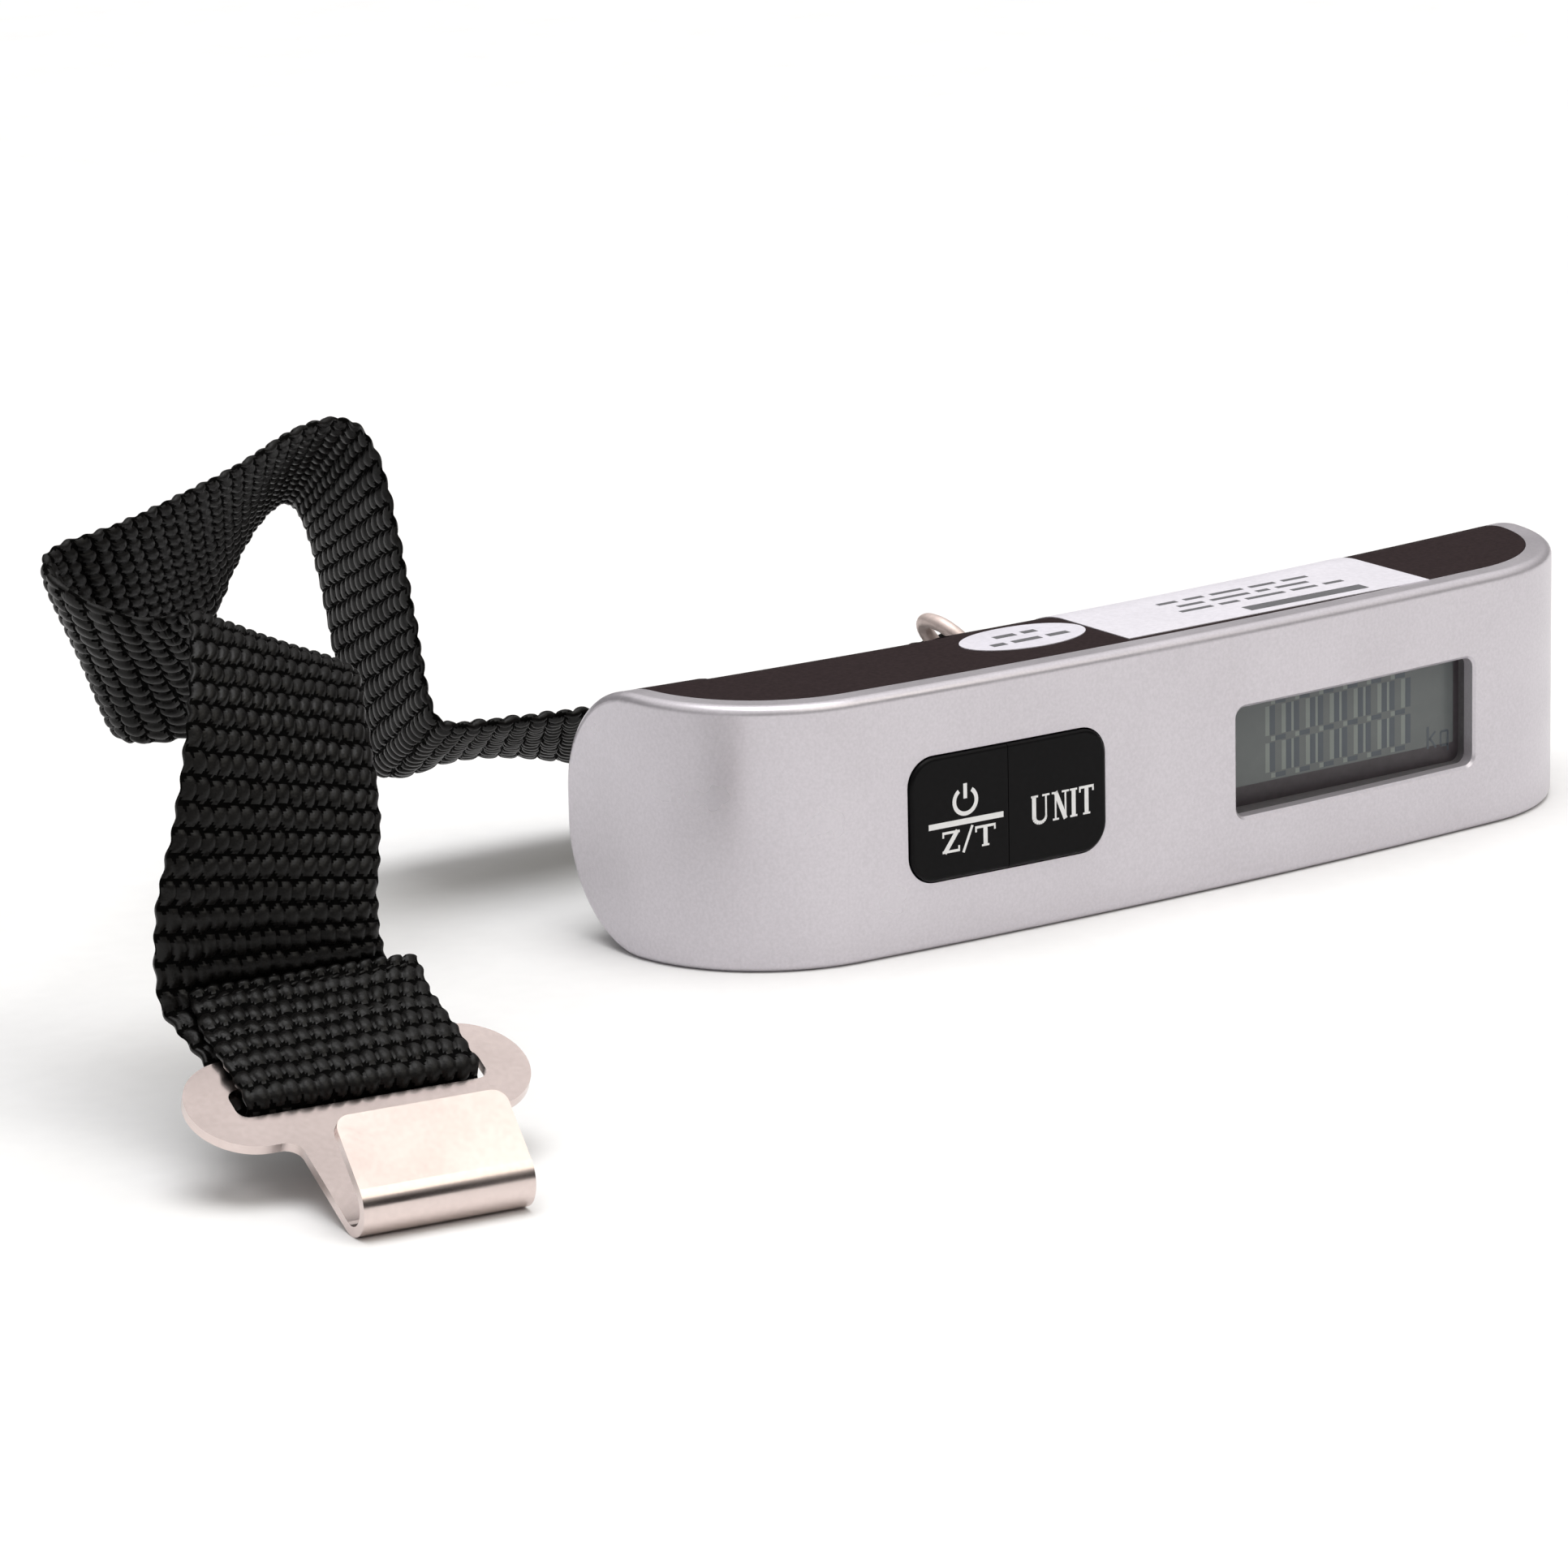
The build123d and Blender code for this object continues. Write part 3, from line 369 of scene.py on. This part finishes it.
# ---- woven surface -----------------------------------------------------------------------------
COLUMNS = 15
PER_COLUMN = 7
PITCH = 0.0028
PER_PITCH = 9
RELIEF = 0.00065
RELIEF_SUNK = 0.62               # share of the relief that lies within the thickness
SLANT = 0.012
WANDER, WANDER_RATE = 0.05, 1.9  # drift of the rows from yarn to yarn
FLOAT_WIDTH = 0.98               # of a yarn's share of the width
FLOAT_LENGTH = 0.95              # of the pitch: the rest is the channel between rows, coloured with painted shade
FLOAT_ROUNDNESS = 2.2            # exponent of the oval outline
SIZE_SPREAD = 0.12               # from float to float
GROOVE_SHADE_HEIGHT = 0.24                    # height below which a face gets the painted groove shade
EDGE_SCALLOP = 0.00030           # depth of the waves along both edges
EDGE_ROUNDNESS = 14              # exponent: the thickness falls off only close to an edge
EDGE_THICKNESS = 0.35            # left at the very edge, as a share of the full thickness


def grain(yarn, along, side):
    """Height of one oval yarn float, from 0 in the grooves to 1 on its crown."""
    phase = along / PITCH + side * 0.5 + SLANT * yarn + WANDER * math.sin(yarn * WANDER_RATE)
    row = math.floor(phase)
    place = yarn + 0.5 * (row % 2)
    column = math.floor(place)
    u = abs(place - column - 0.5) * 2 / FLOAT_WIDTH
    v = abs(phase - row - 0.5) * 2 / FLOAT_LENGTH
    size = 1 - SIZE_SPREAD + SIZE_SPREAD * math.sin(row * 3.1 + column * 5.7)
    oval = 1 - u ** FLOAT_ROUNDNESS - v ** FLOAT_ROUNDNESS
    return max(0.0, oval) ** 0.5 * size


# painted shade: a darker, almost unglossy copy of the yarn colour for the channel faces, standing
# in for the shade that falls in them
groove_shade = grained("webbing_painted_groove_shade", (0.0012, 0.0011, 0.0010), 0.8, scale=3200.0, depth=0.3,
                       spread=0.3, distance=0.0001, rough_spread=0.08, specular=0.03)
THREAD_RADIUS = 0.00020
THREAD_SIDES = 6
THREAD_TAPER = ((-0.5, 0.35), (-0.3, 1.0), (0.3, 1.0), (0.5, 0.35))


def tack(verts, faces, origin, run, rise):
    """One short sewn stitch pulled into the webbing, tapered at both ends."""
    side = run.cross(rise).normalized() * THREAD_RADIUS
    lift = rise.normalized() * THREAD_RADIUS
    start = len(verts)
    for part, thick in THREAD_TAPER:
        for k in range(THREAD_SIDES):
            a = 2 * math.pi * k / THREAD_SIDES
            turned = side * math.cos(a) + lift * math.sin(a)
            verts.append(origin + run * part + turned * thick)
    last = len(THREAD_TAPER) - 1
    for ring in range(last):
        a = start + ring * THREAD_SIDES
        b = a + THREAD_SIDES
        for k in range(THREAD_SIDES):
            n = (k + 1) % THREAD_SIDES
            faces.append((a + k, a + n, b + n, b + k))
    faces.append(tuple(start + k for k in reversed(range(THREAD_SIDES))))
    faces.append(tuple(start + last * THREAD_SIDES + k for k in range(THREAD_SIDES)))


def webbing(name, start, end, stitches=()):
    """Woven ribbon between two distances along the route, with its sewn stitches."""
    rows = max(4, int(round((end - start) / PITCH * PER_PITCH)))
    cols = COLUMNS * PER_COLUMN
    ring = 2 * (cols + 1)
    body = WEBBING_THICKNESS / 2 - RELIEF * RELIEF_SUNK
    verts = []
    faces = []
    lifts = []
    for r in range(rows + 1):
        s = start + (end - start) * r / rows
        centre, across, normal, width = section(s)
        edge = 0.5 + 0.5 * math.cos(2 * math.pi * s / PITCH)
        half = width / 2 - EDGE_SCALLOP * (1 - edge)
        for side in (1, -1):
            for k in range(cols + 1):
                c = k if side > 0 else cols - k
                x = c / cols * 2 - 1
                lift = grain(c / PER_COLUMN, s, 0 if side > 0 else 1)
                lifts.append(lift)
                roll = max(0.0, 1 - abs(x) ** EDGE_ROUNDNESS)
                thick = EDGE_THICKNESS + (1 - EDGE_THICKNESS) * roll
                height = (body + RELIEF * lift) * thick
                verts.append(centre + across * (x * half) + normal * (side * height))
    for r in range(rows):
        a = r * ring
        b = (r + 1) * ring
        for k in range(ring):
            n = (k + 1) % ring
            faces.append((a + k, b + k, b + n, a + n))
    # faces low in the channels are marked for the painted groove shade
    grooves = [sum(lifts[v] for v in face) / 4 < GROOVE_SHADE_HEIGHT for face in faces]
    faces.append(tuple(range(ring)))
    faces.append(tuple(rows * ring + k for k in reversed(range(ring))))
    for origin, run, rise in stitches:
        tack(verts, faces, origin, run, rise)
    obj = new_mesh(name, verts, faces)
    for cap in (rows * ring, rows * ring + 1):
        obj.data.polygons[cap].use_smooth = False
    obj.data.materials.append(FINISH["webbing"])
    obj.data.materials.append(groove_shade)
    for face, low in enumerate(grooves):
        obj.data.polygons[face].material_index = int(low)
    return obj


RING_CUT = 0.052                 # distances along the route where the three pieces meet
HOOK_CUT = TOTAL - 0.100
STITCH_LENGTH = 0.0012
STITCH_SLANT = 0.35


def seam(origin, across, away, rise, width, count):
    """Row of slanting stitches across the webbing."""
    run = (across + away * STITCH_SLANT).normalized() * STITCH_LENGTH
    return [
        (origin + across * (width * (k / (count - 1) - 0.5)), run, rise) for k in range(count)
    ]


ring_stitches = []
for away, lift in ((0.0088, 0.00215), (0.0122, 0.00198)):
    spot = STRAP_AT_BAR + PULL * away + PULL_SIDE * lift
    ring_stitches += seam(spot, RING_ALONG, PULL, PULL_SIDE, 0.018, 11)
hook_stitches = []
for back in (35.4, 41.6):
    spot = on_plate(0.6, back, 2.72)
    hook_stitches += seam(spot, PLATE_ACROSS, PLATE_BACK, PLATE_UP, 0.024, 15)

ring_end = webbing("strap_ring_loop", 0.0, RING_CUT, ring_stitches)
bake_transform(ring_end)
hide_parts("strap", "strap_stitching")

hook_end = webbing("strap_hook_loop", HOOK_CUT, TOTAL, hook_stitches)
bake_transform(hook_end)
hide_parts("strap", "strap_stitching")

main_strap = webbing("strap_main", RING_CUT, HOOK_CUT)
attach(main_strap, "scale")
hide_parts("strap")

# ---- display digits ----------------------------------------------------------------------------
DISPLAY_Y = -0.0199              # face of the display
INK_GAP = 0.00002                # of every print above the face it lies on
DIGIT_COUNT = 6
DIGIT_X, DIGIT_Z = 0.0157, 0.0121
DIGIT_PITCH = 0.0040
DIGIT_WIDTH = 0.0027
DIGIT_TALL = 0.0098
STROKE = 0.0009
SEGMENT_GAP = 0.0005
LEVEL_STROKE = STROKE * 0.7      # the level segments are thinner than the upright ones
HIGHLIGHT_SHIFT = 0.0007              # of the painted highlights beside the segments


def flat_piece(name, quads, depth, made, body="scale"):
    """Print facing -Y: quads of (x, z) corners, with depth(x) giving their Y."""
    verts = []
    faces = []
    for quad in quads:
        start = len(verts)
        verts += [(x, depth(x), z) for x, z in quad]
        faces.append(tuple(range(start, start + len(quad))))
    obj = new_mesh(name, verts, faces, False)
    obj.data.materials.append(made)
    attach(obj, body)
    return obj


def bar(x0, z0, x1, z1, width):
    """Straight stroke as one quad."""
    run = Vector((x1 - x0, z1 - z0))
    side = Vector((-run.y, run.x)).normalized() * width / 2
    return [
        (x0 - side.x, z0 - side.y), (x1 - side.x, z1 - side.y),
        (x1 + side.x, z1 + side.y), (x0 + side.x, z0 + side.y),
    ]


def segment_digit(x, z):
    """Seven unlit segments of one digit."""
    half = DIGIT_TALL / 2
    gap = SEGMENT_GAP
    made = []
    for level in (z, z + half, z + 2 * half):
        made.append(bar(x + gap, level, x + DIGIT_WIDTH - gap, level, LEVEL_STROKE))
    for column in (x, x + DIGIT_WIDTH):
        for low in (z, z + half):
            made.append(bar(column, low + gap, column, low + half - gap, STROKE))
    return made


def segment_y(x):
    """Y of the unlit segments, the same at every x."""
    return DISPLAY_Y - INK_GAP


def painted_light_y(x):
    """Y of the painted highlights beside the segments and of the painted wall shade, just behind
    the segments.
    """
    return DISPLAY_Y - INK_GAP / 2


# partly the unlit segments' own faint tone, partly painted shadow of each segment on the reflector
# behind; the unit mark uses it too
ghost_and_shadow = grained("unlit_segments_and_painted_shadow", (0.066, 0.080, 0.096), 0.22, scale=500.0, depth=0.02,
                spread=0.03)
# painted highlight: a lighter copy of every segment, set just beside it
glint = grained("segment_painted_highlights", (0.20, 0.225, 0.21), 0.22, scale=500.0, depth=0.02, spread=0.03)
# painted shade: dark strips along the lower and right edges of the display, standing in for the
# shade of the bezel wall
wall_shade = grained("display_painted_wall_shade", (0.050, 0.042, 0.048), 0.4, depth=0.1)
digit_quads = []
for k in range(DIGIT_COUNT):
    digit_quads += segment_digit(DIGIT_X + k * DIGIT_PITCH, DIGIT_Z)
flat_piece("display_segments_and_painted_shadow", digit_quads, segment_y, ghost_and_shadow)
highlight_quads = [[(x - HIGHLIGHT_SHIFT, z) for x, z in quad] for quad in digit_quads]
flat_piece("display_segment_painted_highlights", highlight_quads, painted_light_y, glint)
wall_shade_quads = [
    bar(0.0063, 0.0100, 0.0470, 0.0100, 0.0030),
    bar(0.0466, 0.0115, 0.0466, 0.0234, 0.0010),
]
flat_piece("display_painted_wall_shade_strips", wall_shade_quads, painted_light_y, wall_shade)
unit_quads = [
    bar(0.0418, 0.0112, 0.0418, 0.0142, 0.0004), bar(0.0420, 0.0124, 0.0431, 0.0134, 0.0003),
    bar(0.0422, 0.0125, 0.0432, 0.0112, 0.0003), bar(0.0440, 0.0113, 0.0452, 0.0113, 0.0003),
    bar(0.0440, 0.0132, 0.0452, 0.0132, 0.0003), bar(0.0440, 0.0113, 0.0440, 0.0132, 0.0003),
    bar(0.0452, 0.0105, 0.0452, 0.0132, 0.0003),
]
flat_piece("display_unit_mark", unit_quads, segment_y, ghost_and_shadow)

# ---- key prints --------------------------------------------------------------------------------
white_ink = grained("white_ink", (0.80, 0.80, 0.80), 0.5, scale=2500.0, depth=0.05, spread=0.03)
KEY_Y = -0.0250                  # face of the keys at x = 0
KEY_BOW = 0.7815                 # radius of that face, which curves with the front


def key_face(x):
    """Y of ink just in front of the bowed face of the keys."""
    return KEY_Y + x * x / (2 * KEY_BOW) - INK_GAP


def power_mark(x, z, radius, width):
    """Open ring with a bar through its gap."""
    made = []
    steps = 28
    start, sweep = 125, 290      # degrees: the ring is open at the top
    inner = radius - width / 2
    outer = radius + width / 2
    for k in range(steps):
        a = math.radians(start + sweep * k / steps)
        b = math.radians(start + sweep * (k + 1) / steps)
        made.append([
            (x + inner * math.cos(a), z + inner * math.sin(a)),
            (x + inner * math.cos(b), z + inner * math.sin(b)),
            (x + outer * math.cos(b), z + outer * math.sin(b)),
            (x + outer * math.cos(a), z + outer * math.sin(a)),
        ])
    made.append(bar(x, z + 0.0003, x, z + radius + 0.0006, width))
    return made


THICK = 0.00062                  # main strokes of the letters
THIN = 0.00026                   # serifs and fine strokes


def letter(kind, x, z, w, h):
    """Serif control letter from straight strokes, in the box x, z, w, h."""
    top = z + h
    foot = THICK * 0.9
    if kind == "I":
        return [bar(x + w / 2, z, x + w / 2, top, THICK)] + [
            bar(x + w / 2 - foot, q, x + w / 2 + foot, q, THIN)
            for q in (z + THIN / 2, top - THIN / 2)
        ]
    if kind == "T":
        return [
            bar(x + w / 2, z, x + w / 2, top, THICK),
            bar(x, top - THIN / 2, x + w, top - THIN / 2, THIN * 1.3),
            bar(x + THIN / 2, top - THICK * 1.2, x + THIN / 2, top, THIN),
            bar(x + w - THIN / 2, top - THICK * 1.2, x + w - THIN / 2, top, THIN),
            bar(x + w / 2 - foot, z + THIN / 2, x + w / 2 + foot, z + THIN / 2, THIN),
        ]
    if kind == "N":
        return [
            bar(x + THICK / 2, z, x + THICK / 2, top, THIN),
            bar(x + w - THIN, z, x + w - THIN, top, THIN),
            bar(x + THICK / 2, top, x + w - THIN, z, THICK),
            bar(x - THIN, top - THIN / 2, x + THICK, top - THIN / 2, THIN),
            bar(x - THIN / 2, z + THIN / 2, x + THICK * 1.3, z + THIN / 2, THIN),
            bar(x + w - THIN - foot, top - THIN / 2, x + w - THIN + foot, top - THIN / 2, THIN),
        ]
    if kind == "U":
        made = [
            bar(x + THICK / 2, z + w * 0.35, x + THICK / 2, top, THICK),
            bar(x + w - THIN, z + w * 0.35, x + w - THIN, top, THIN),
            bar(x - THIN / 2, top - THIN / 2, x + THICK * 1.5, top - THIN / 2, THIN),
            bar(x + w - THIN - foot, top - THIN / 2, x + w - THIN + foot, top - THIN / 2, THIN),
        ]
        middle = x + (THICK / 2 + w - THIN) / 2
        reach = (w - THIN - THICK / 2) / 2
        for k in range(10):
            a = math.radians(180 + 18 * k)
            b = math.radians(198 + 18 * k)
            made.append(bar(
                middle + reach * math.cos(a), z + w * 0.37 + w * 0.33 * math.sin(a),
                middle + reach * math.cos(b), z + w * 0.37 + w * 0.33 * math.sin(b),
                THICK * (1 - 0.05 * k),
            ))
        return made
    if kind == "Z":
        return [
            bar(x, z + THIN / 2, x + w, z + THIN / 2, THIN * 1.3),
            bar(x, top - THIN / 2, x + w, top - THIN / 2, THIN * 1.3),
            bar(x + THICK / 2, z, x + w - THICK / 2, top, THICK),
            bar(x + THIN / 2, top - THICK * 1.2, x + THIN / 2, top, THIN),
            bar(x + w - THIN / 2, z, x + w - THIN / 2, z + THICK * 1.2, THIN),
        ]
    return [bar(x, z - 0.0003, x + w, top + 0.0003, THIN * 1.4)]


power_quads = power_mark(-0.0367, 0.0187, 0.00165, 0.00055)
power_quads.append(bar(-0.0422, 0.01605, -0.0310, 0.01605, 0.00075))
for kind, x, w in (("Z", -0.0402, 0.0026), ("/", -0.0371, 0.0014), ("T", -0.0353, 0.0031)):
    power_quads += letter(kind, x, 0.0124, w, 0.0027)
flat_piece("power_key_print", power_quads, key_face, white_ink, "power_key")
unit_key_quads = []
for kind, x, w in (("U", -0.02665, 0.0024), ("N", -0.02335, 0.0021), ("I", -0.02075, 0.0010),
                   ("T", -0.01940, 0.0023)):
    unit_key_quads += letter(kind, x, 0.0139, w, 0.0037)
flat_piece("unit_key_print", unit_key_quads, key_face, white_ink, "unit_key")

# ---- label print: plain bars in place of wording -----------------------------------------------
grey_ink = grained("grey_ink", (0.13, 0.13, 0.14), 0.5, scale=2500.0, depth=0.05, spread=0.1)
TOP = 0.0341 + INK_GAP           # faces of both labels, with the ink just above
LABEL_CHARACTER, LABEL_SPACE = 0.00105, 0.0012
LABEL_ROW, LABEL_ROW_PITCH = 0.0112, 0.0024
OVAL_CHARACTER = 0.0011
OVAL_X = -0.0174


def top_print(name, lines, made):
    """Bars on the upper side face, each (x0, x1, depth from the front, width)."""
    verts = []
    faces = []
    for x0, x1, depth, width in lines:
        start = len(verts)
        low = FRONT_Y + depth - width / 2
        high = FRONT_Y + depth + width / 2
        verts += [(x0, low, TOP), (x1, low, TOP), (x1, high, TOP), (x0, high, TOP)]
        faces.append((start, start + 1, start + 2, start + 3))
    obj = new_mesh(name, verts, faces, False)
    obj.data.materials.append(made)
    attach(obj, "scale")
    return obj


label_lines = [(0.0135, 0.0330, 0.0070, 0.0022)]
for row, (start, words) in enumerate((
    (0.0060, (5, 3, 6, 4, 3)), (0.0075, (4, 6, 2, 5)), (0.0060, (3, 3, 5, 4, 4)),
)):
    x = start
    for size in words:
        end = x + size * LABEL_CHARACTER
        label_lines.append((x, end, LABEL_ROW + row * LABEL_ROW_PITCH, 0.0009))
        x = end + LABEL_SPACE
top_print("rating_label_print", label_lines, grey_ink)
oval_lines = []
for depth, words in ((0.0122, (2, 4, 3)), (0.0154, (3, 2))):
    total = (sum(words) + len(words) - 1) * OVAL_CHARACTER
    x = OVAL_X - total / 2
    for size in words:
        oval_lines.append((x, x + size * OVAL_CHARACTER, depth, 0.0012))
        x += (size + 1) * OVAL_CHARACTER
top_print("inspection_label_print", oval_lines, grey_ink)

# ---- floor, world and lights -------------------------------------------------------------------
floor_mat = grained("floor_paper", (0.90, 0.90, 0.90), 0.6, scale=300.0, depth=0.02, spread=0.01)
HALF = 3                         # metres from the middle to each side of the floor
floor_corners = [(-HALF, -HALF, 0), (HALF, -HALF, 0), (HALF, HALF, 0), (-HALF, HALF, 0)]
floor = new_mesh("floor", floor_corners, [(0, 1, 2, 3)], False)
floor.data.materials.append(floor_mat)

world = bpy.data.worlds.new("world")
world.use_nodes = True
sky = world.node_tree
background = sky.nodes["Background"]
where = sky.nodes.new("ShaderNodeTexCoord")
split = sky.nodes.new("ShaderNodeSeparateXYZ")
fade = sky.nodes.new("ShaderNodeValToRGB")
fade.color_ramp.elements[0].position = 0.0
fade.color_ramp.elements[0].color = (0.03, 0.028, 0.028, 1)
fade.color_ramp.elements[1].position = 1.0
fade.color_ramp.elements[1].color = (0.85, 0.83, 0.83, 1)
dark = fade.color_ramp.elements.new(0.30)
dark.color = (0.035, 0.032, 0.03, 1)
pale = fade.color_ramp.elements.new(0.62)
pale.color = (0.75, 0.74, 0.73, 1)
sky.links.new(where.outputs["Generated"], split.inputs["Vector"])
sky.links.new(split.outputs["Z"], fade.inputs["Fac"])
sky.links.new(fade.outputs["Color"], background.inputs["Color"])
background.inputs["Strength"].default_value = 1.0
scene.world = world


def area_light(name, place, target, size, power, tint=(1, 1, 1)):
    """Soft rectangular light aimed at a point."""
    data = bpy.data.lights.new(name, "AREA")
    data.shape = "RECTANGLE"
    data.size, data.size_y = size
    data.energy = power
    data.color = tint
    obj = bpy.data.objects.new(name, data)
    scene.collection.objects.link(obj)
    obj.location = place
    aim = Vector(target) - Vector(place)
    obj.rotation_euler = aim.to_track_quat("-Z", "Y").to_euler()


sun_data = bpy.data.lights.new("broad_light", "SUN")
sun_data.energy = 1.8
sun_data.angle = math.radians(48)
sun = bpy.data.objects.new("broad_light", sun_data)
scene.collection.objects.link(sun)
sun.rotation_euler = Vector((0.02, 0.06, -1.0)).to_track_quat("-Z", "Y").to_euler()
area_light("front_light", (0.20, -0.75, 0.80), (-0.08, 0, 0.02), (0.8, 0.6), 1.85,
           (1.0, 0.94, 0.80))
area_light("left_light", (-1.0, -0.55, 0.45), (0, 0, 0.02), (0.6, 0.5), 0.3)

scene.view_settings.view_transform = "Standard"
